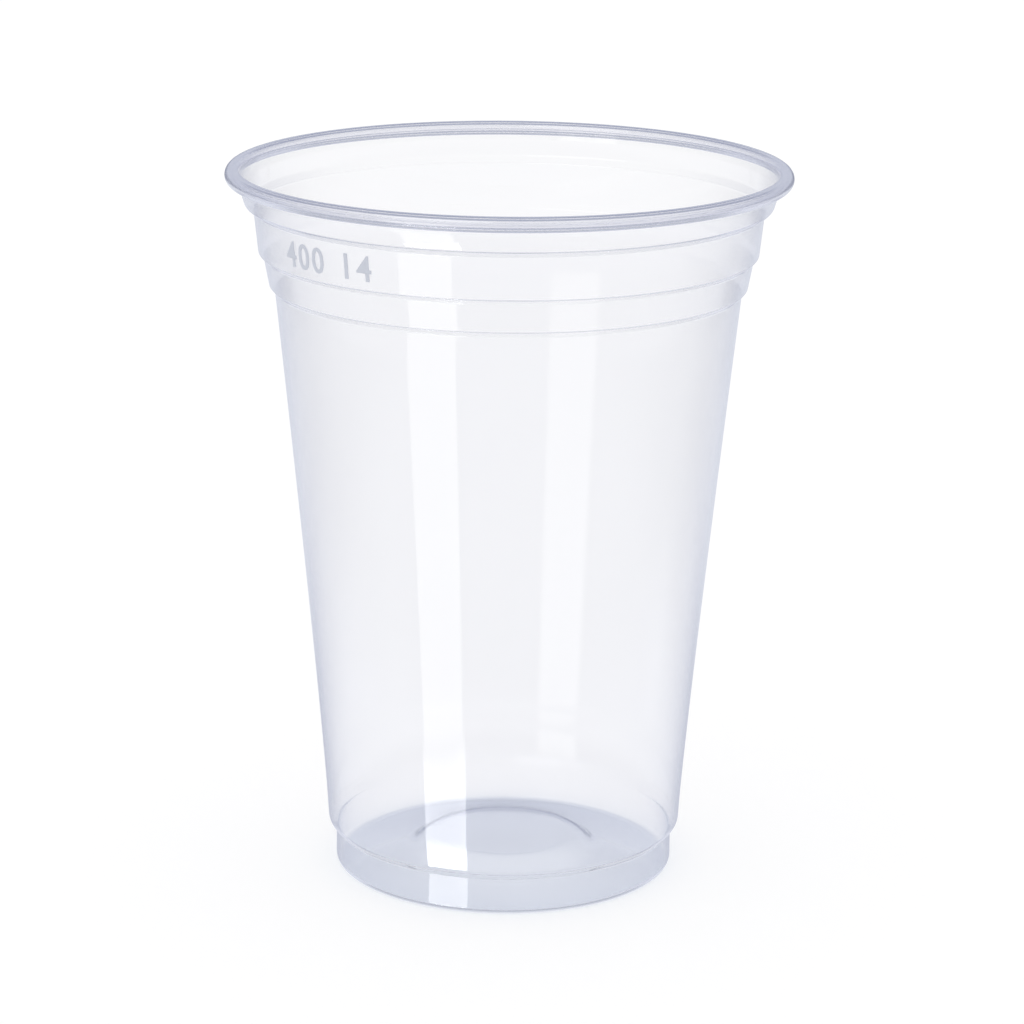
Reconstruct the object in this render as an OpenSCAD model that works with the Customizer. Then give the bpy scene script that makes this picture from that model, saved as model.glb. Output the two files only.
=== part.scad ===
// Clear disposable drinking cup, drawn from one plastic sheet.
// The sheet rises from a pushed-up base, over a foot and a stacking shoulder,
// up a slightly flared wall with two stepped bands, and ends in a rolled rim.
// All sizes are in millimetres. The cup stands on z = 0, centred on the Z axis.

/* [Overall] */
// Height from the table to the top of the rolled rim
cup_h = 122.2; // [105:0.1:150]
// Outside diameter over the rolled rim
rim_d = 95; // [90:0.5:105]
// Outside diameter of the foot at the table
foot_d = 58.4; // [52:0.1:64]

/* [Sheet] */
// Thickness of the sheet in the bands and at the top of the body
wall_t = 0.3; // [0.26:0.01:0.5]
// Thickness of the sheet at the bottom of the body, where it is drawn thinnest
low_t = 0.22; // [0.2:0.01:0.4]
// Thickness of the sheet in the neck and the rolled rim
rim_t = 0.3; // [0.26:0.01:0.4]
// Thickness of the sheet in the foot and the base
base_t = 0.4; // [0.35:0.01:0.7]

/* [Rolled rim] */
// Outside diameter of the roll's section
roll_d = 2.7; // [2.6:0.1:3.2]
// How many half turns the sheet is rolled
roll_halves = 4; // [2.5:0.5:4]
// Gap between two turns of the roll
roll_gap = 0.1; // [0.08:0.01:0.14]

/* [Neck] */
// Height from the top of the upper band to the top of the rim
neck_h = 7.1; // [7:0.1:9]
// How far the step over the upper band goes out
neck_step = 1.5; // [0.8:0.05:2]
// Height of the step over the upper band
neck_step_h = 1; // [0.8:0.05:1.6]
// Radius of the corner at the top of that step
neck_step_r = 0.9; // [0.6:0.05:1.2]
// How far the neck leans out over the step
neck_lean = 0.85; // [0.3:0.05:1.5]
// Radius where the neck turns upright under the roll
lean_r = 1.6; // [0.6:0.1:2]

/* [Upper band] */
// Height of the upper band
band_h = 7.15; // [5:0.05:14]
// How far the upper band draws in from its top to its bottom
band_draft = 0.75; // [0.3:0.05:1.6]
// How far the step under the upper band goes in
band_step = 0.85; // [0.6:0.05:1.5]
// Height of the step under the upper band
band_step_h = 0.75; // [0.4:0.05:1.5]
// Radius of the outward corner at the foot of the upper band
band_r = 0.8; // [0.5:0.05:1]
// Radius of the inward corners beside the steps
step_in_r = 0.35; // [0.3:0.05:0.6]

/* [Stacking band] */
// Height of the stacking band
stack_h = 4.8; // [3:0.05:9]
// How far the stacking band draws in from its top to its bottom
stack_draft = 0.9; // [0.2:0.05:1.2]
// How far the step under the stacking band goes in
stack_step = 0.95; // [0.6:0.05:1.5]
// Height of the step under the stacking band
stack_step_h = 1.5; // [1:0.05:3]
// Radius of the outward corner at the foot of the stacking band
stack_r = 0.55; // [0.3:0.05:1.2]

/* [Body] */
// How far the body's side is pulled in, at most
body_bow = 0.36; // [0.05:0.01:1.5]
// Where it is pulled in most: 1 is halfway up, and less is lower
bow_skew = 0.7; // [0.6:0.05:1]
// Outside diameter of the body at the stacking shoulder
shoulder_d = 61; // [56:0.1:66]
// Height of the stacking shoulder above the table
shoulder_z = 7.65; // [6.2:0.05:12]
// Height of the slope under the stacking shoulder
shoulder_h = 1.4; // [0.8:0.05:2]
// Radius of the stacking shoulder
shoulder_r = 1.3; // [0.5:0.1:1.4]
// Radius of the narrow corner between the foot and the shoulder
tuck_r = 0.15; // [0.1:0.05:0.6]

/* [Foot and base] */
// Taper of the foot, from the table up to the shoulder
foot_draft = 0.05; // [0:0.05:0.6]
// Radius of the foot's outer corner
foot_r = 1.3; // [0.9:0.1:1.8]
// Width of the flat ring that the cup stands on
ring_w = 0.9; // [0.4:0.1:2]
// Radius where the standing ring turns up into the base
ring_r = 1; // [0.5:0.1:2]
// How far the base slopes up, from the table to the raised centre
base_rise = 1.6; // [1.2:0.1:2.4]
// Diameter of the raised centre where the slope meets it
centre_d = 32; // [24:0.5:38]
// Height of the raised centre above the slope
centre_h = 2.4; // [1.8:0.1:2.8]
// How far the side of the raised centre leans in
centre_draft = 3; // [2.4:0.1:4]
// Radius of the edges of the raised centre
centre_r = 4.5; // [2:0.1:5]

/* [Hidden] */

// Sides of each full circle.
round_fn = 180;
// Largest turn between two points of an arc, in degrees.
arc_turn = 12;
// Smallest radius that a corner keeps on its inner side.
least_r = 0.05;
// Turn between two points of the roll's rounded tip, in degrees.
tip_turn = 36;
// Share of an edge that the corner at one of its ends may take.
edge_share = 0.48;
// Points along the bowed side of the body.
bow_points = 16;
// Height of the upright sheet between the leaning neck and the underside of the roll.
upright_h = 0.6;

// The roll's centre, and the upright sheet that leads into it.
roll_r = roll_d / 2;
roll_at = [rim_d / 2 - roll_r, cup_h - roll_r];
neck_r = roll_at[0] - roll_r + rim_t;

// Heights of the corners, from the rim down.
band_z = cup_h - neck_h;
band_foot_z = band_z - band_h;
stack_z = band_foot_z - band_step_h;
stack_foot_z = stack_z - stack_h;
body_z = stack_foot_z - stack_step_h;
step_top_z = band_z + neck_step_h;
lean_top_z = cup_h - roll_d - upright_h;

// Radii of the same corners.
step_top_r = neck_r - neck_lean;
band_top_r = step_top_r - neck_step;
band_foot_r = band_top_r - band_draft;
stack_top_r = band_foot_r - band_step;
stack_foot_r = stack_top_r - stack_draft;
body_r = stack_foot_r - stack_step;

// Radii and heights of the base.
foot_top = [foot_d / 2 - foot_draft, shoulder_z - shoulder_h];
ring_in = foot_d / 2 - foot_r - ring_w;
centre_z = base_rise + centre_h;
centre_top_r = centre_d / 2 - centre_draft;

// Direction from one point to another.
function dir(a, b) = (b - a) / norm(b - a);

// A direction turned a quarter turn to its left.
function left(u) = [-u[1], u[0]];

// Which way a corner turns: 1 to the left, -1 to the right.
function turn(u, v) = left(u) * v >= 0 ? 1 : -1;

// Where the line through a along u meets the line through b along v.
function crossing(a, u, b, v) = a + u * ((b - a) * left(v)) / (u * left(v));

// The point at angle a on a circle about c.
function at_angle(c, r, a) = c + r * [cos(a), sin(a)];

// Points of an arc about c, from angle a0 to angle a1.
function arc(c, r, a0, a1) =
    let (n = max(1, ceil(abs(a1 - a0) / arc_turn)))
    [for (i = [0 : n]) at_angle(c, r, a0 + (a1 - a0) * i / n)];

// A corner at b, on the way from a to c, rounded to radius r.
function corner(a, b, c, r) =
    let (
        u = dir(b, a),
        v = dir(b, c),
        half = acos(max(-1, min(1, u * v))) / 2,
        room = edge_share * min(norm(a - b), norm(c - b)) * tan(half),
        fit = min(r, room),
        centre = b + dir([0, 0], u + v) * fit / sin(half),
        start = b + u * fit / tan(half) - centre,
        a0 = atan2(start[1], start[0]),
        sweep = (180 - 2 * half) * turn(-u, v)
    )
    arc(centre, fit, a0, a0 + sweep);

// An open outline with its inner corners rounded. A radius of 0 keeps the point.
function rounded(p, r) = [
    for (i = [0 : len(p) - 1])
        each (i == 0 || i == len(p) - 1 || r[i] == 0) ? [p[i]] : corner(p[i - 1], p[i], p[i + 1], r[i])
];

// One point of an outline, moved to the left by the thickness of the edges beside it.
// A point with a radius of 0 lies on a smooth stretch and moves square to it.
function moved_point(p, r, t, i) =
    i == 0 ? p[0] + left(dir(p[0], p[1])) * t[0] :
    i == len(p) - 1 ? p[i] + left(dir(p[i - 1], p[i])) * t[i - 1] :
    r[i] == 0 ? p[i] + left(dir(p[i - 1], p[i + 1])) * (t[i - 1] + t[i]) / 2 :
    let (u = dir(p[i - 1], p[i]), v = dir(p[i], p[i + 1]))
    crossing(p[i] + left(u) * t[i - 1], u, p[i] + left(v) * t[i], v);

// A whole outline moved to its left, which is the inside of the cup.
function moved(p, r, t) = [for (i = [0 : len(p) - 1]) moved_point(p, r, t, i)];

// The radii of the moved outline, so that the sheet keeps its thickness round each corner.
function moved_radii(p, r, t) = [
    for (i = [0 : len(p) - 1])
        (i == 0 || i == len(p) - 1 || r[i] == 0) ? 0 :
        max(least_r, r[i] - t[i] * turn(dir(p[i - 1], p[i]), dir(p[i], p[i + 1])))
];

// The outside of the sheet from the middle of the base to the roll.
// Each corner is [radius from the axis, height, rounding, thickness of the edge after it].
below = [
    [0, centre_z, 0, base_t],
    [centre_top_r, centre_z, centre_r, base_t],
    [centre_d / 2, base_rise, centre_r, base_t],
    [ring_in, 0, ring_r, base_t],
    [foot_d / 2, 0, foot_r, base_t],
    [foot_top[0], foot_top[1], tuck_r, low_t],
    [shoulder_d / 2, shoulder_z, shoulder_r, low_t]
];
body = [
    for (i = [1 : bow_points])
        let (s = i / (bow_points + 1), b = pow(s, bow_skew))
        [
            shoulder_d / 2 + (body_r - shoulder_d / 2) * s - 4 * body_bow * b * (1 - b),
            shoulder_z + (body_z - shoulder_z) * s,
            0,
            low_t + (wall_t - low_t) * s
        ]
];
above = [
    [body_r, body_z, step_in_r, wall_t],
    [stack_foot_r, stack_foot_z, stack_r, wall_t],
    [stack_top_r, stack_z, step_in_r, wall_t],
    [band_foot_r, band_foot_z, band_r, wall_t],
    [band_top_r, band_z, step_in_r, rim_t],
    [step_top_r, step_top_z, neck_step_r, rim_t],
    [neck_r, lean_top_z, lean_r, rim_t],
    [neck_r, roll_at[1], 0, rim_t]
];
sheet = concat(below, body, above);
outside = [for (q = sheet) [q[0], q[1]]];
radii = [for (q = sheet) q[2]];
thickness = [for (q = sheet) q[3]];

// A list without its first item, and a list back to front.
function after_first(p) = [for (i = [1 : len(p) - 1]) p[i]];
function back_to_front(p) = [for (i = [len(p) - 1 : -1 : 0]) p[i]];

// The roll leaves the neck upwards, and turns outwards, down and back under itself.
// It is a spiral of half turns, and each is half a pitch smaller than the one before.
roll_pitch = rim_t + roll_gap;
roll_start = 180;
roll_end = roll_start - 180 * roll_halves;
last_half = ceil(roll_halves) - 1;
function half_at(k) = roll_at + [k % 2 * roll_pitch / 2, 0];
function half_r(k) = roll_r - k * roll_pitch / 2;
function half_arc(k, inset) =
    arc(half_at(k), half_r(k) - inset, roll_start - 180 * k, max(roll_end, -180 * k));
function spiral(inset) = [for (k = [0 : last_half]) each after_first(half_arc(k, inset))];

// The rounded edge of the sheet, where the roll ends.
tip_r = rim_t / 2;
tip_at = at_angle(half_at(last_half), half_r(last_half) - tip_r, roll_end);
tip = [for (a = [tip_turn : tip_turn : 180 - tip_turn]) at_angle(tip_at, tip_r, roll_end - 180 + a)];

// Half section of the cup: up the outside, round the hollow side of the roll and its
// rounded tip, back along the outer side of the roll, and down the inside.
function section() =
    let (inside = rounded(moved(outside, radii, thickness), moved_radii(outside, radii, thickness)))
    concat(rounded(outside, radii), spiral(rim_t), tip, back_to_front(spiral(0)), back_to_front(inside));

module cup() {
    color([0.88, 0.9, 0.95, 0.5])
    rotate_extrude($fn = round_fn)
    polygon(section());
}

cup();
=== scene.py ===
"""Clear polypropylene cold-drink cup on a white table, in soft studio light.

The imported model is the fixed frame. Its one node, the cup, is shown as a smooth turned
sheet of the same sizes, with crisper corners under its two bands. Two plain raised
numbers are added on the upper band, where such cups have their filling marks.
"""

import logging
import math
from dataclasses import dataclass
from enum import Enum
from typing import Any

import bmesh
import bpy
from mathutils import Matrix, Vector


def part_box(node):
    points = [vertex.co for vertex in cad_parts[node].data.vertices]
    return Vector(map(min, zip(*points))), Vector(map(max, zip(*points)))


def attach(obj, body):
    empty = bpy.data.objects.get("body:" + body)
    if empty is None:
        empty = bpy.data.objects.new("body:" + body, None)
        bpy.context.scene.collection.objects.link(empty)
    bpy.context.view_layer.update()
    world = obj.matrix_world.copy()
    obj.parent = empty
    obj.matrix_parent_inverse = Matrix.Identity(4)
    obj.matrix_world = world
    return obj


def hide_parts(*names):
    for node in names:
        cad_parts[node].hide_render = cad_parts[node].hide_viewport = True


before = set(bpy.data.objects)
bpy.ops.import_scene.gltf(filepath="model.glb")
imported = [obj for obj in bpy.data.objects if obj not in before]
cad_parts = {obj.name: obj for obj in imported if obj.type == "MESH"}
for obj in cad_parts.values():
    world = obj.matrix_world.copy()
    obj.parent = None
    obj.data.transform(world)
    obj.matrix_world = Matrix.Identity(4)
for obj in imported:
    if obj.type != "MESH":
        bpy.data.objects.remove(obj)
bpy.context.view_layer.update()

MM = 0.001
HALF = 0.5
BODY = "root"
NODE = "cup"

# Points closer than this, in millimetres, are one point.
WELD = 0.0005
# Most times that light bends through the sheet, and most times that it is mirrored.
BENDS = 24
MIRRORS = 16
# Light that was mirrored more often than this was guided along the sheet, and light
# that was mirrored less often than the other is seen directly or through the sheet.
GUIDED_AFTER = 2.5
SEEN_DIRECTLY = 0.5

log = logging.getLogger("cup")


def linear(colour: str) -> tuple[float, float, float, float]:
    """Turns an sRGB hex value into a linear colour.

    Args:
        colour: Six hex digits, such as "f4f6ff".

    Returns:
        Red, green, blue and an alpha of 1.
    """
    parts = [int(colour[i : i + 2], 16) / 255 for i in (0, 2, 4)]
    flat = [c / 12.92 if c <= 0.04045 else ((c + 0.055) / 1.055) ** 2.4 for c in parts]
    return flat[0], flat[1], flat[2], 1.0


def add_node(tree: bpy.types.NodeTree, kind: str, **settings: Any) -> bpy.types.Node:
    """Adds a node with its settings and links.

    Args:
        tree: The node tree.
        kind: The node's type without the ShaderNode prefix.
        **settings: An attribute of the node, or else an input by its name with
            underscores for spaces, as a value or as the output socket to link. A name
            that starts with "in_" and a number picks the input by its place.

    Returns:
        The new node.
    """
    node = tree.nodes.new("ShaderNode" + kind)
    for name, value in settings.items():
        if hasattr(node, name) and name not in ("inputs", "outputs"):
            setattr(node, name, value)
            continue
        key: Any = int(name[3:]) if name.startswith("in_") else name.replace("_", " ")
        if isinstance(value, bpy.types.NodeSocket):
            tree.links.new(value, node.inputs[key])
        else:
            node.inputs[key].default_value = value
    return node


def calculated(
    tree: bpy.types.NodeTree, operation: str, *values: Any
) -> bpy.types.NodeSocket:
    """Adds a math node.

    Args:
        tree: The node tree.
        operation: What it does, such as "MAXIMUM".
        *values: What it works on, as numbers or sockets.

    Returns:
        The socket with the result.
    """
    inputs = {f"in_{place}": value for place, value in enumerate(values)}
    return add_node(tree, "Math", operation=operation, **inputs).outputs[0]


def mirrored_over(tree: bpy.types.NodeTree, times: float) -> bpy.types.NodeSocket:
    """Adds nodes that pick the light that was mirrored more often than a limit.

    Args:
        tree: The node tree.
        times: The limit.

    Returns:
        The socket with 1 for such light and 0 for other light.
    """
    depth = add_node(tree, "LightPath").outputs["Glossy Depth"]
    return calculated(tree, "GREATER_THAN", depth, times)


def rescaled(
    tree: bpy.types.NodeTree,
    value: bpy.types.NodeSocket,
    given: tuple[float, float],
    wanted: tuple[float, float] = (0.0, 1.0),
    **settings: Any,
) -> bpy.types.NodeSocket:
    """Adds a node that turns one range of values into another and cuts off the rest.

    Args:
        tree: The node tree.
        value: The socket with the value.
        given: Ends of the range that it has.
        wanted: Ends of the range that it gets.
        **settings: More settings of the node.

    Returns:
        The socket with the new value.
    """
    node = add_node(
        tree,
        "MapRange",
        **settings,
        Value=value,
        From_Min=given[0],
        From_Max=given[1],
        To_Min=wanted[0],
        To_Max=wanted[1],
    )
    return node.outputs["Result"]


def noise(
    tree: bpy.types.NodeTree, place: bpy.types.NodeSocket, size_mm: float, detail: float
) -> bpy.types.NodeSocket:
    """Adds a noise texture.

    Args:
        tree: The node tree.
        place: The socket with the place on the piece.
        size_mm: Size of its patches, in millimetres.
        detail: Finer patches within them.

    Returns:
        The socket with its value.
    """
    texture = add_node(
        tree, "TexNoise", Vector=place, Scale=1 / (size_mm * MM), Detail=detail
    )
    return texture.outputs["Fac"]


def bumps(
    tree: bpy.types.NodeTree, height: bpy.types.NodeSocket, depth_mm: float
) -> bpy.types.NodeSocket:
    """Adds a node that makes a face uneven.

    Args:
        tree: The node tree.
        height: The socket with the bumps' height, from 0 to 1.
        depth_mm: Their depth, in millimetres.

    Returns:
        The socket with the face's direction.
    """
    bump = add_node(tree, "Bump", Height=height, Distance=depth_mm * MM, Strength=1.0)
    return bump.outputs["Normal"]


def mixed(
    tree: bpy.types.NodeTree,
    share: bpy.types.NodeSocket,
    one: bpy.types.Node,
    two: bpy.types.Node,
) -> bpy.types.Node:
    """Adds a node that mixes two shaders.

    Args:
        tree: The node tree.
        share: The socket with the share of the second shader.
        one: The first shader.
        two: The second shader.

    Returns:
        The new node.
    """
    return add_node(
        tree, "MixShader", in_0=share, in_1=one.outputs[0], in_2=two.outputs[0]
    )


def blank_material(name: str) -> tuple[bpy.types.Material, bpy.types.NodeTree]:
    """Makes a material with an empty node tree.

    Args:
        name: The material's name.

    Returns:
        The material and its tree.
    """
    material = bpy.data.materials.new(name)
    material.use_nodes = True
    material.node_tree.nodes.clear()
    return material, material.node_tree


def mesh_from(bm: bmesh.types.BMesh, name: str) -> bpy.types.Mesh:
    """Turns a drawn mesh into mesh data and frees it.

    Args:
        bm: The drawn mesh.
        name: The name of the data.

    Returns:
        The mesh data.
    """
    mesh = bpy.data.meshes.new(name)
    bm.to_mesh(mesh)
    bm.free()
    return mesh


def only_verts(geometry: list[Any]) -> list[bmesh.types.BMVert]:
    """Picks the vertices out of what a mesh operation made.

    Args:
        geometry: Vertices, edges and faces.

    Returns:
        The vertices, in the same order.
    """
    return [part for part in geometry if isinstance(part, bmesh.types.BMVert)]


def placed(name: str, data: Any) -> bpy.types.Object:
    """Links an object into the scene.

    Args:
        name: Its name.
        data: Its mesh, text, lamp or camera.

    Returns:
        The new object, at the origin.
    """
    item = bpy.data.objects.new(name, data)
    bpy.context.scene.collection.objects.link(item)
    return item


def finished(
    name: str, mesh: bpy.types.Mesh, material: bpy.types.Material
) -> bpy.types.Object:
    """Links a finished mesh into the scene as a piece that rides on the cup's body.

    Args:
        name: The piece's name.
        mesh: Its mesh, in the row frame.
        material: Its one material.

    Returns:
        The new object, at the origin.
    """
    mesh.name = name
    mesh.materials.clear()
    mesh.materials.append(material)
    mesh.shade_smooth()
    piece = placed(name, mesh)
    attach(piece, BODY)
    return piece


@dataclass(frozen=True)
class GlossPolypropylene:
    """Clear polypropylene sheet, thermoformed against a polished mould.

    The cooling sheet takes the mould's gloss, so it mirrors lamps with sharp edges, and
    its crystals leave a faint haze and a cool cast. Single crystals are far too fine to
    see, so the haze is drawn as broad patches, as the draw leaves them. The wall has
    ripples a few thousandths of a millimetre deep, which make the edges of mirrored
    lamps waver.

    Attributes:
        name: What it is called.
        tint: Colour of the clear face.
        ior: How strongly it bends light.
        roughness: Least and most roughness of the haze.
        haze_range: Part of the noise that the haze is spread over.
        haze_mm: Size of the haze's patches.
        haze_detail: Finer patches within them.
        ripple_mm: Length of the wall's ripple.
        ripple_detail: Finer ripples within it.
        ripple_depth_mm: Its depth.
        cast: Colour that is left of light that stays long in the sheet.
        cast_density: How soon that shows, per metre.
        shade: What a face passes on to the table.
        base_shade: The same for the base, which is drawn least and is hazier.
        base_mm: Heights between which the one turns into the other.
    """

    name: str = "thermoformed clear polypropylene"
    tint: str = "fdfdfe"
    ior: float = 1.49
    roughness: tuple[float, float] = (0.03, 0.07)
    haze_range: tuple[float, float] = (0.3, 0.7)
    haze_mm: float = 9.0
    haze_detail: float = 3.0
    ripple_mm: float = 14.0
    ripple_detail: float = 1.0
    ripple_depth_mm: float = 0.004
    cast: str = "e4eaf8"
    cast_density: float = 24.0
    shade: str = "fbfbfc"
    base_shade: str = "f5f7fa"
    base_mm: tuple[float, float] = (5.0, 7.0)

    def build(self) -> bpy.types.Material:
        """Makes the material.

        Returns:
            The material, for closed walls of real thickness.
        """
        material, tree = blank_material(self.name)
        place = add_node(tree, "TexCoord").outputs["Object"]
        haze = noise(tree, place, self.haze_mm, self.haze_detail)
        ripple = noise(tree, place, self.ripple_mm, self.ripple_detail)
        sheet = add_node(
            tree,
            "BsdfPrincipled",
            Base_Color=linear(self.tint),
            Transmission_Weight=1.0,
            IOR=self.ior,
            Roughness=rescaled(tree, haze, self.haze_range, self.roughness),
            Normal=bumps(tree, ripple, self.ripple_depth_mm),
        )
        # Lamps shine through a clear cup, so it throws only a light shade on the table.
        height = add_node(tree, "SeparateXYZ", Vector=place).outputs["Z"]
        low, high = self.base_mm
        tone = add_node(
            tree,
            "Mix",
            data_type="RGBA",
            in_0=rescaled(tree, height, (low * MM, high * MM)),
            in_6=linear(self.base_shade),
            in_7=linear(self.shade),
        )
        clear = add_node(tree, "BsdfTransparent", Color=tone.outputs[2])
        ray = add_node(tree, "LightPath").outputs
        direct = calculated(
            tree, "MAXIMUM", ray["Is Shadow Ray"], ray["Is Diffuse Ray"]
        )
        # Light guided along the sheet leaves it through the haze of its crystals.
        guided = mirrored_over(tree, GUIDED_AFTER)
        mix = mixed(tree, calculated(tree, "MAXIMUM", direct, guided), sheet, clear)
        cast = add_node(
            tree, "VolumeAbsorption", Color=linear(self.cast), Density=self.cast_density
        )
        add_node(tree, "OutputMaterial", Surface=mix.outputs[0], Volume=cast.outputs[0])
        return material


@dataclass(frozen=True)
class FrostedPolypropylene:
    """The same sheet where the mould is engraved, which leaves a matt, greyish face.

    The engraving's real grain is too fine to see, so it is drawn a quarter of a
    millimetre wide.
    """

    name: str = "engraved clear polypropylene"
    tint: str = "c6cad4"
    ior: float = 1.49
    roughness: float = 0.6
    grain_mm: float = 0.25
    grain_detail: float = 2.0
    grain_depth_mm: float = 0.01

    def build(self) -> bpy.types.Material:
        """Makes the material.

        Returns:
            The material, for thin raised strokes.
        """
        material, tree = blank_material(self.name)
        place = add_node(tree, "TexCoord").outputs["Object"]
        grain = noise(tree, place, self.grain_mm, self.grain_detail)
        stroke = add_node(
            tree,
            "BsdfPrincipled",
            Base_Color=linear(self.tint),
            IOR=self.ior,
            Roughness=self.roughness,
            Normal=bumps(tree, grain, self.grain_depth_mm),
        )
        add_node(tree, "OutputMaterial", Surface=stroke.outputs[0])
        return material


class Zone(Enum):
    """Stretches of the sheet, each with its thickness in millimetres after the draw.

    The rim is as thick as the top of the wall.
    """

    BASE = 0.4
    LOW = 0.22
    WALL = 0.3
    RIM = 0.3


@dataclass(frozen=True)
class Corner:
    """A corner of the sheet's outside line, in millimetres.

    Attributes:
        r: Distance from the cup's axis.
        z: Height above the table.
        rounding: Radius that the corner is rounded to.
    """

    r: float
    z: float
    rounding: float = 0.0

    def below(self, inward: float, down: float, rounding: float) -> "Corner":
        """Finds the next corner down the line.

        Args:
            inward: How much closer to the axis it is.
            down: How much lower it is.
            rounding: Its own rounding.

        Returns:
            The corner.
        """
        return Corner(self.r - inward, self.z - down, rounding)


@dataclass
class CupSheet:
    """The cup as one sheet: base, foot, shoulder, body, two bands, neck and rolled rim.

    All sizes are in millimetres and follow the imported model, but for band_r, stack_r
    and stack_step_h, which are smaller here, so that the steps show as crisp lines. The
    outside line runs from the middle of the base up to the edge of the roll, is turned
    about the axis, and gets its thickness on the inner side.
    """

    rim_d: float
    height: float
    foot_d: float = 58.4
    roll_d: float = 2.7
    roll_halves: float = 4.0
    roll_gap: float = 0.1
    neck_h: float = 7.1
    neck_step: float = 1.5
    neck_step_h: float = 1.0
    neck_step_r: float = 0.9
    neck_lean: float = 0.85
    lean_r: float = 1.6
    upright_h: float = 0.6
    band_h: float = 7.15
    band_draft: float = 0.75
    band_step: float = 0.85
    band_step_h: float = 0.75
    band_r: float = 0.35
    step_in_r: float = 0.35
    stack_h: float = 4.8
    stack_draft: float = 0.9
    stack_step: float = 0.95
    stack_step_h: float = 0.9
    stack_r: float = 0.3
    body_bow: float = 0.36
    bow_skew: float = 0.7
    shoulder_d: float = 61.0
    shoulder_z: float = 7.65
    shoulder_h: float = 1.4
    shoulder_r: float = 1.3
    tuck_r: float = 0.15
    foot_draft: float = 0.05
    foot_r: float = 1.3
    ring_w: float = 0.9
    ring_r: float = 1.0
    base_rise: float = 1.6
    centre_d: float = 32.0
    centre_h: float = 2.4
    centre_draft: float = 3.0
    centre_r: float = 4.5
    body_cuts: int = 16
    arc_step: float = 9.0
    least_segments: int = 3
    sides: int = 240
    edge_share: float = 0.48
    tip_round: float = 0.13
    tip_angle: float = 60.0

    @property
    def roll_r(self) -> float:
        """Outer radius of the roll's section."""
        return self.roll_d / 2

    @property
    def roll_at(self) -> tuple[float, float]:
        """Radius and height of the roll's centre."""
        return self.rim_d / 2 - self.roll_r, self.height - self.roll_r

    @property
    def neck_r(self) -> float:
        """Outside radius of the neck, where it turns up into the roll."""
        return self.roll_at[0] - self.roll_r + Zone.RIM.value

    @property
    def roll_pitch(self) -> float:
        """How much smaller the roll is after a full turn."""
        return Zone.RIM.value + self.roll_gap

    @property
    def band_top(self) -> Corner:
        """Upper corner of the upper band."""
        r = self.neck_r - self.neck_lean - self.neck_step
        return Corner(r, self.height - self.neck_h, self.step_in_r)

    @property
    def band_foot(self) -> Corner:
        """Lower corner of the upper band."""
        return self.band_top.below(self.band_draft, self.band_h, self.band_r)

    def corners(self) -> list[Corner]:
        """Lists the corners of the sheet's outside line.

        Returns:
            The corners, from the middle of the base up to the start of the roll.
        """
        foot = self.foot_d / 2
        centre = self.centre_d / 2
        raised = self.base_rise + self.centre_h
        tuck = self.shoulder_z - self.shoulder_h
        lower = [
            Corner(0, raised),
            Corner(centre - self.centre_draft, raised, self.centre_r),
            Corner(centre, self.base_rise, self.centre_r),
            Corner(foot - self.foot_r - self.ring_w, 0, self.ring_r),
            Corner(foot, 0, self.foot_r),
            Corner(foot - self.foot_draft, tuck, self.tuck_r),
            Corner(self.shoulder_d / 2, self.shoulder_z, self.shoulder_r),
        ]
        band = self.band_foot
        stack = band.below(self.band_step, self.band_step_h, self.step_in_r)
        stack_foot = stack.below(self.stack_draft, self.stack_h, self.stack_r)
        upper = [
            stack_foot.below(self.stack_step, self.stack_step_h, self.step_in_r),
            stack_foot,
            stack,
            band,
            self.band_top,
            Corner(
                self.neck_r - self.neck_lean,
                self.band_top.z + self.neck_step_h,
                self.neck_step_r,
            ),
            Corner(
                self.neck_r, self.height - self.roll_d - self.upright_h, self.lean_r
            ),
            Corner(self.neck_r, self.roll_at[1]),
        ]
        return lower + upper

    def bow_body(self, bm: bmesh.types.BMesh, side: bmesh.types.BMEdge) -> None:
        """Divides the body's straight side and pulls it in towards its middle.

        Args:
            bm: The mesh that holds the line.
            side: The edge from the stacking shoulder up to the stacking band.
        """
        low, high = sorted(side.verts, key=lambda v: v.co.z)
        start, end = low.co.z, high.co.z
        cut = bmesh.ops.subdivide_edges(bm, edges=[side], cuts=self.body_cuts)
        for v in only_verts(cut["geom_inner"]):
            share = ((v.co.z - start) / (end - start)) ** self.bow_skew
            v.co.x -= 4 * self.body_bow * MM * share * (1 - share)

    def round_corner(self, bm: bmesh.types.BMesh, corner: Corner) -> None:
        """Rounds one corner of the line.

        Args:
            bm: The mesh that holds the line.
            corner: The corner, with an edge on either side.
        """
        at = Vector((corner.r, 0, corner.z)) * MM
        vert = min(bm.verts, key=lambda v: (v.co - at).length_squared)
        one, two = (e.other_vert(vert).co - vert.co for e in vert.link_edges)
        half = one.angle(two) / 2
        room = self.edge_share * min(one.length, two.length)
        bmesh.ops.bevel(
            bm,
            geom=[vert],
            affect="VERTICES",
            offset=min(corner.rounding * MM / math.tan(half), room),
            offset_type="OFFSET",
            segments=max(
                self.least_segments,
                round(math.degrees(math.pi - 2 * half) / self.arc_step),
            ),
            profile=0.5,
            material=-1,
            clamp_overlap=False,
        )

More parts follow.
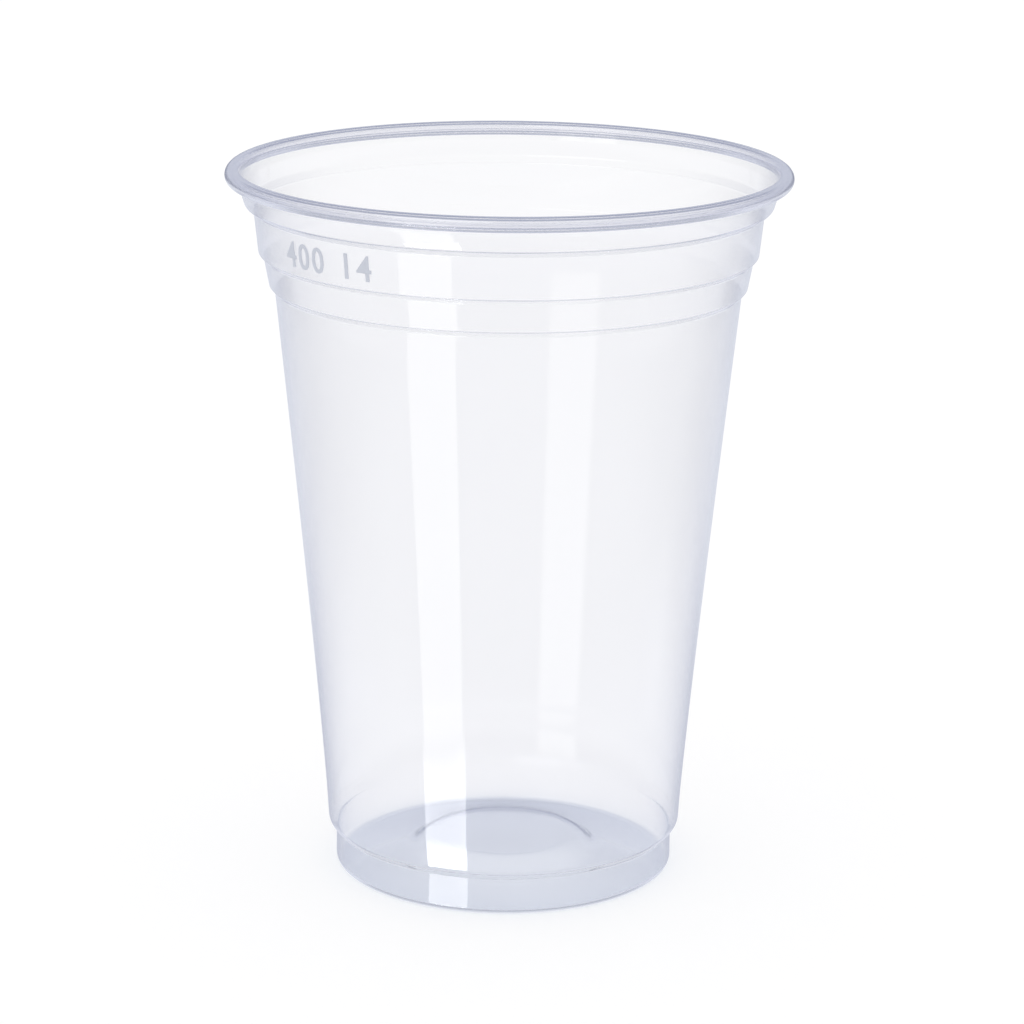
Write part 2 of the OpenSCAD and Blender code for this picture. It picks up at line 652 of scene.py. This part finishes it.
    def outside_line(self) -> bmesh.types.BMesh:
        """Draws the outside line, from the middle of the base to the edge of the roll.

        Returns:
            A mesh of vertices and edges in the plane y = 0.
        """
        bm = bmesh.new()
        corners = self.corners()
        verts = [bm.verts.new((c.r * MM, 0, c.z * MM)) for c in corners]
        edges = [bm.edges.new(pair) for pair in zip(verts, verts[1:])]
        side = max(edges, key=lambda e: e.calc_length() * (e.verts[0].co.x > 0))
        self.bow_body(bm, side)
        for corner in (c for c in corners if c.rounding):
            self.round_corner(bm, corner)
        end = max(bm.verts, key=lambda v: v.co.z)
        for half in range(math.ceil(self.roll_halves)):
            turn = 180.0 * min(1.0, self.roll_halves - half)
            shift = self.roll_pitch / 2 * (half % 2)
            spun = bmesh.ops.spin(
                bm,
                geom=[end],
                cent=((self.roll_at[0] + shift) * MM, 0, self.roll_at[1] * MM),
                axis=(0, 1, 0),
                angle=math.radians(turn),
                steps=round(turn / self.arc_step),
                use_merge=False,
                use_duplicate=False,
            )
            end = only_verts(spun["geom_last"])[0]
        return bm

    def turned(self) -> bmesh.types.BMesh:
        """Turns the outside line about the cup's axis.

        Returns:
            The open sheet, with its faces pointing away from the drink.
        """
        bm = self.outside_line()
        bmesh.ops.spin(
            bm,
            geom=bm.verts[:] + bm.edges[:],
            cent=(0, 0, 0),
            axis=(0, 0, 1),
            angle=math.tau,
            steps=self.sides,
            use_merge=True,
            use_duplicate=False,
        )
        bmesh.ops.remove_doubles(bm, verts=bm.verts, dist=WELD * MM)
        bmesh.ops.recalc_face_normals(bm, faces=bm.faces)
        middle = self.height * MM / 2
        wall = min(bm.faces, key=lambda f: abs(f.calc_center_median().z - middle))
        centre = wall.calc_center_median()
        if wall.normal.dot(Vector((centre.x, centre.y, 0))) < 0:
            bmesh.ops.reverse_faces(bm, faces=bm.faces)
        return bm

    def thickness(self, z: float) -> float:
        """Finds the sheet's thickness at a height.

        Args:
            z: Height, in millimetres.

        Returns:
            The thickness, which grows evenly from the bottom of the body to its top.
        """
        if z < self.shoulder_z - self.shoulder_h + self.tuck_r:
            return Zone.BASE.value
        if z > self.band_top.z:
            return Zone.RIM.value
        top = self.band_foot.z - self.band_step_h - self.stack_h - self.stack_step_h
        share = min(1.0, max(0.0, (z - self.shoulder_z) / (top - self.shoulder_z)))
        return Zone.LOW.value + (Zone.WALL.value - Zone.LOW.value) * share

    def build(self, material: bpy.types.Material) -> bpy.types.Object:
        """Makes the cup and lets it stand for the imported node.

        Args:
            material: The sheet's finish.

        Returns:
            The finished piece.
        """
        bm = self.turned()
        drawn = bm.verts.layers.deform.verify()
        for v in bm.verts:
            v[drawn][0] = self.thickness(v.co.z / MM) / Zone.BASE.value
        sheet = placed("cup_sheet", mesh_from(bm, "cup_sheet"))
        sheet.vertex_groups.new(name="drawn")
        wall = sheet.modifiers.new("thickness", "SOLIDIFY")
        wall.thickness = Zone.BASE.value * MM
        wall.offset = -1.0
        wall.vertex_group = "drawn"
        wall.use_even_offset = True
        wall.use_quality_normals = True
        shaped = sheet.evaluated_get(bpy.context.evaluated_depsgraph_get())
        solid = bpy.data.meshes.new_from_object(shaped)
        bpy.data.objects.remove(sheet)
        self.round_tip(solid)
        piece = finished("cup_shell", solid, material)
        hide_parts(NODE)
        return piece

    def round_tip(self, mesh: bpy.types.Mesh) -> None:
        """Rounds the cut edge of the sheet, where the roll ends.

        Args:
            mesh: The closed sheet.
        """
        bm = bmesh.new()
        bm.from_mesh(mesh)
        sharp = [
            e
            for e in bm.edges
            if e.is_manifold and e.calc_face_angle() > math.radians(self.tip_angle)
        ]
        bmesh.ops.bevel(
            bm,
            geom=sharp,
            affect="EDGES",
            offset=self.tip_round * MM,
            offset_type="OFFSET",
            segments=self.least_segments,
            profile=0.5,
            material=-1,
            clamp_overlap=True,
        )
        log.info("rounded %d edges at the end of the roll", len(sharp))
        bm.to_mesh(mesh)
        bm.free()

    def surface(self, turn: float, z: float) -> Vector:
        """Finds a point on the outside of the upper band.

        Args:
            turn: Angle about the axis from the front, in radians, towards +X.
            z: Height, in millimetres.

        Returns:
            The point, in metres.
        """
        top, foot = self.band_top, self.band_foot
        r = foot.r + (top.r - foot.r) * (z - foot.z) / (top.z - foot.z)
        return Vector((r * math.sin(turn), -r * math.cos(turn), z)) * MM


@dataclass
class FillingMarks:
    """Two plain raised numbers, moulded on the front left of the upper band.

    Sizes are in millimetres. Each number stands at its own turn about the axis, in
    degrees from the front towards +X.
    """

    numbers: tuple[str, ...] = ("400", "14")
    turns: tuple[float, ...] = (-50.8, -35.0)
    z: float = 111.4
    height: float = 4.2
    proud: float = 0.12
    sunk: float = 0.04
    digit_share: float = 0.7
    spacing: float = 1.2
    bold: float = 0.05
    curve_steps: int = 4

    def digits(self, number: str) -> bpy.types.Mesh:
        """Draws a number as a flat raised mesh, centred on the origin.

        Args:
            number: The digits.

        Returns:
            The mesh, in metres, in the XY plane.
        """
        curve = bpy.data.curves.new("digits", "FONT")
        curve.body = number
        curve.size = self.height * MM / self.digit_share
        curve.space_character = self.spacing
        curve.offset = self.bold * MM
        curve.align_x = "CENTER"
        curve.align_y = "CENTER"
        curve.extrude = (self.proud + self.sunk) * MM / 2
        curve.resolution_u = self.curve_steps
        text = placed("digits", curve)
        shaped = text.evaluated_get(bpy.context.evaluated_depsgraph_get())
        mesh = bpy.data.meshes.new_from_object(shaped)
        bpy.data.objects.remove(text)
        bpy.data.curves.remove(curve)
        return mesh

    def build(self, sheet: CupSheet, material: bpy.types.Material) -> bpy.types.Object:
        """Lays the numbers round the upper band.

        Args:
            sheet: The cup that carries them.
            material: Their finish.

        Returns:
            The finished piece.
        """
        bm = bmesh.new()
        middle = (self.proud - self.sunk) / 2 * MM
        for number, turn in zip(self.numbers, self.turns):
            fresh = set(bm.verts)
            mesh = self.digits(number)
            bm.from_mesh(mesh)
            bpy.data.meshes.remove(mesh)
            for v in (v for v in bm.verts if v not in fresh):
                angle = math.radians(turn) + v.co.x / (sheet.band_top.r * MM)
                out = Vector((math.sin(angle), -math.cos(angle), 0))
                at = sheet.surface(angle, self.z + v.co.y / MM)
                v.co = at + out * (v.co.z + middle)
        bmesh.ops.remove_doubles(bm, verts=bm.verts, dist=2 * WELD * MM)
        bmesh.ops.recalc_face_normals(bm, faces=bm.faces)
        piece = finished("filling_marks", mesh_from(bm, "filling_marks"), material)
        piece.data.shade_flat()
        return piece


@dataclass(frozen=True)
class Softbox:
    """A cloth panel beside the camera, seen only as its mirror image on the cup.

    Attributes:
        name: What it is called.
        turns: Its two ends, in degrees about the cup from the front towards +X.
        rise: Heights of its lower and upper edge above the table, in metres.
        level: How bright it is at its lower and upper edge.
        soft: Share of its width over which each side fades.
        away: Distance from the cup's axis, in metres.
        through: Most faces of the sheet that its light may pass to be seen, which keeps
            a near panel off the cup's far side.
        colour: Colour of its light.
    """

    name: str
    turns: tuple[float, float]
    rise: tuple[float, float]
    level: tuple[float, float]
    soft: float
    away: float
    through: int
    colour: str = "fdfeff"

    def panel(self) -> bpy.types.Mesh:
        """Draws the upright panel, with a UV map that runs across and up it.

        Returns:
            The mesh.
        """
        bm = bmesh.new()
        low, high = self.rise
        foot = [
            bm.verts.new((self.away * math.sin(t), -self.away * math.cos(t), low))
            for t in map(math.radians, self.turns)
        ]
        edge = bm.edges.new(foot)
        raised = bmesh.ops.extrude_edge_only(bm, edges=[edge])
        tops = only_verts(raised["geom"])
        bmesh.ops.translate(bm, verts=tops, vec=(0, 0, high - low))
        across = bm.loops.layers.uv.new("panel")
        for loop in (loop for face in bm.faces for loop in face.loops):
            at = loop.vert.co
            first = (at.xy - foot[0].co.xy).length < (at.xy - foot[1].co.xy).length
            loop[across].uv = (0.0 if first else 1.0, 1.0 if loop.vert in tops else 0.0)
        return mesh_from(bm, self.name)

    def cloth(self) -> bpy.types.Material:
        """Makes the glowing cloth, which only mirrored light finds.

        Returns:
            The material.
        """
        material, tree = blank_material(self.name + " cloth")
        place = add_node(tree, "UVMap", uv_map="panel").outputs["UV"]
        split = add_node(tree, "SeparateXYZ", Vector=place).outputs
        off = calculated(
            tree, "ABSOLUTE", calculated(tree, "SUBTRACT", split["X"], HALF)
        )
        fade = rescaled(
            tree,
            off,
            (HALF - self.soft, HALF),
            (1.0, 0.0),
            interpolation_type="SMOOTHSTEP",
        )
        level = rescaled(tree, split["Y"], (0.0, 1.0), self.level)
        glow = add_node(tree, "Emission", Color=linear(self.colour), Strength=level)
        gone = add_node(tree, "BsdfTransparent")
        faces = add_node(tree, "LightPath").outputs["Transmission Depth"]
        clear = calculated(tree, "LESS_THAN", faces, self.through + HALF)
        found = mirrored_over(tree, SEEN_DIRECTLY)
        share = calculated(
            tree, "MULTIPLY", calculated(tree, "MULTIPLY", found, clear), fade
        )
        mix = mixed(tree, share, gone, glow)
        add_node(tree, "OutputMaterial", Surface=mix.outputs[0])
        return material

    def build(self) -> None:
        """Hangs the softbox in the studio."""
        box = placed(self.name, self.panel())
        box.data.materials.append(self.cloth())


@dataclass
class Studio:
    """The white table, the room that the cup mirrors, and the lamps.

    Lengths are in metres and angles in degrees.

    Attributes:
        table_size: Length of the table's sides.
        table_drop: How far the table lies below the cup's foot.
        table_colour: Its colour.
        room: Colours of the mirrored room, each at its height as seen from the cup.
        boxes: The softboxes.
        white: Colour of the room where it is seen or lights the table.
        guided: Colour of the room for light that was guided along the sheet.
        key_level: Strength of the key lamp.
        key_spread: Its size, as an angle.
        key_from: A point that it shines from, towards the cup.
    """

    table_size: float = 6.0
    table_drop: float = 0.0001
    table_colour: str = "fbfbfb"
    room: tuple[tuple[float, str], ...] = (
        (-90.0, "b8bcc8"),
        (-42.0, "b8bcc8"),
        (-34.0, "dce0ee"),
        (-24.0, "dce0ee"),
        (-22.0, "c0c4d4"),
        (-19.5, "c0c4d4"),
        (-17.5, "d8dce8"),
        (-12.0, "d8dce8"),
        (-8.0, "767c94"),
        (-2.0, "767c94"),
        (4.0, "b8bdd0"),
        (18.0, "b8bdd0"),
        (24.0, "9298b0"),
        (38.0, "9298b0"),
        (50.0, "c0c4d0"),
        (90.0, "c0c4d0"),
    )
    boxes: tuple[Softbox, ...] = (
        Softbox(
            name="near softbox",
            turns=(-48.5, -24.0),
            rise=(-0.088, 0.045),
            level=(1.75, 1.6),
            soft=0.02,
            away=0.25,
            through=3,
        ),
        Softbox(
            name="low softbox",
            turns=(-49.5, -22.8),
            rise=(-0.15, -0.088),
            level=(11.5, 1.75),
            soft=0.01,
            away=0.25,
            through=3,
        ),
        Softbox(
            name="far softbox",
            turns=(-51.2, -20.7),
            rise=(-0.12, 0.1),
            level=(1.25, 0.95),
            soft=0.12,
            away=0.7,
            through=BENDS,
        ),
    )
    white: str = "ffffff"
    guided: str = "e4e6ed"
    key_level: float = 0.24
    key_spread: float = 40.0
    key_from: tuple[float, float, float] = (-0.4, -0.5, 0.75)

    def build(self) -> None:
        """Makes the room, the table and the lamps."""
        self.make_room()
        self.make_table()
        for box in self.boxes:
            box.build()
        self.make_key()

    def make_room(self) -> None:
        """Makes the world, white where it is seen or lights the table, else greyer.

        The mirrored tone changes with height, and light that was guided along the sheet
        finds one even tone.
        """
        world = bpy.data.worlds.new("studio room")
        bpy.context.scene.world = world
        world.use_nodes = True
        tree = world.node_tree
        tree.nodes.clear()
        way = add_node(tree, "TexCoord").outputs["Generated"]
        rise = add_node(tree, "SeparateXYZ", Vector=way).outputs["Z"]
        ramp = add_node(tree, "ValToRGB", Fac=rescaled(tree, rise, (-1.0, 1.0)))
        stops = ramp.color_ramp.elements
        while len(stops) < len(self.room):
            stops.new(HALF)
        for stop, (height, colour) in zip(stops, self.room):
            stop.position = (math.sin(math.radians(height)) + 1) / 2
            stop.color = linear(colour)
        mirrored, white, guided = (
            add_node(tree, "Background", Color=colour, Strength=1.0)
            for colour in (
                ramp.outputs["Color"],
                linear(self.white),
                linear(self.guided),
            )
        )
        room = mixed(tree, mirrored_over(tree, SEEN_DIRECTLY), white, mirrored)
        whole = mixed(tree, mirrored_over(tree, GUIDED_AFTER), room, guided)
        add_node(tree, "OutputWorld", Surface=whole.outputs[0])

    def make_table(self) -> None:
        """Makes the table, a matt laminate board, which takes the cup's light shade."""
        bm = bmesh.new()
        bmesh.ops.create_grid(
            bm,
            x_segments=1,
            y_segments=1,
            size=self.table_size / 2,
            matrix=Matrix.Translation((0, 0, -self.table_drop)),
        )
        material, tree = blank_material("matt white laminate")
        board = add_node(tree, "BsdfDiffuse", Color=linear(self.table_colour))
        gone = add_node(tree, "BsdfTransparent")
        mix = mixed(tree, mirrored_over(tree, SEEN_DIRECTLY), board, gone)
        add_node(tree, "OutputMaterial", Surface=mix.outputs[0])
        table = placed("table", mesh_from(bm, "table"))
        table.data.materials.append(material)

    def make_key(self) -> None:
        """Makes the large soft key lamp, which gives the cup's shade its direction."""
        lamp = bpy.data.lights.new("key lamp", "SUN")
        lamp.energy = self.key_level
        lamp.angle = math.radians(self.key_spread)
        key = placed("key lamp", lamp)
        key.location = self.key_from
        ahead = -Vector(self.key_from)
        key.rotation_euler = ahead.to_track_quat("-Z", "Y").to_euler()


@dataclass(frozen=True)
class PhotoCamera:
    """The photograph's viewpoint, fitted to the cup's outline.

    Lengths are in millimetres, unless they are in pixels, and angles are in degrees.
    """

    focal_px: float = 3648.04
    frame_px: float = 1024.0
    sensor: float = 36.0
    away: float = 624.88
    side: float = 0.97
    height: float = 62.19
    tilt: float = 15.34
    roll: float = 0.57
    clip: tuple[float, float] = (10.0, 50000.0)

    def build(self) -> None:
        """Makes the camera and sets it as the scene's."""
        tilt, roll = math.radians(self.tilt), math.radians(self.roll)
        ahead = Vector((0, math.cos(tilt), -math.sin(tilt)))
        level = Vector((1, 0, 0))
        rise = Vector((0, math.sin(tilt), math.cos(tilt)))
        right = level * math.cos(roll) + rise * math.sin(roll)
        up = rise * math.cos(roll) - level * math.sin(roll)
        turn = Matrix((right, up, -ahead)).transposed().to_4x4()
        at = (Vector((self.side, 0, self.height)) - ahead * self.away) * MM
        data = bpy.data.cameras.new("photo camera")
        data.sensor_width = self.sensor
        data.lens = self.focal_px / self.frame_px * self.sensor
        data.clip_start, data.clip_end = (d * MM for d in self.clip)
        camera = placed("photo camera", data)
        camera.matrix_world = Matrix.Translation(at) @ turn
        bpy.context.scene.camera = camera


def set_up_scene() -> None:
    """Sets the plain view transform and lets light pass all walls of the cup."""
    scene = bpy.context.scene
    scene.view_settings.view_transform = "Standard"
    scene.cycles.max_bounces = BENDS
    scene.cycles.transmission_bounces = BENDS
    scene.cycles.glossy_bounces = MIRRORS
    scene.cycles.transparent_max_bounces = BENDS


def main() -> None:
    """Builds the pieces, the studio and the camera, and reports each piece's faces."""
    logging.basicConfig(level=logging.INFO, format="%(name)s: %(message)s")
    set_up_scene()
    low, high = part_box(NODE)
    sheet = CupSheet(rim_d=(high.x - low.x) / MM, height=(high.z - low.z) / MM)
    shell = sheet.build(GlossPolypropylene().build())
    log.info("%s: %d faces", shell.name, len(shell.data.polygons))
    marks = FillingMarks().build(sheet, FrostedPolypropylene().build())
    log.info("%s: %d faces", marks.name, len(marks.data.polygons))
    Studio().build()
    PhotoCamera().build()


if __name__ == "__main__":
    main()
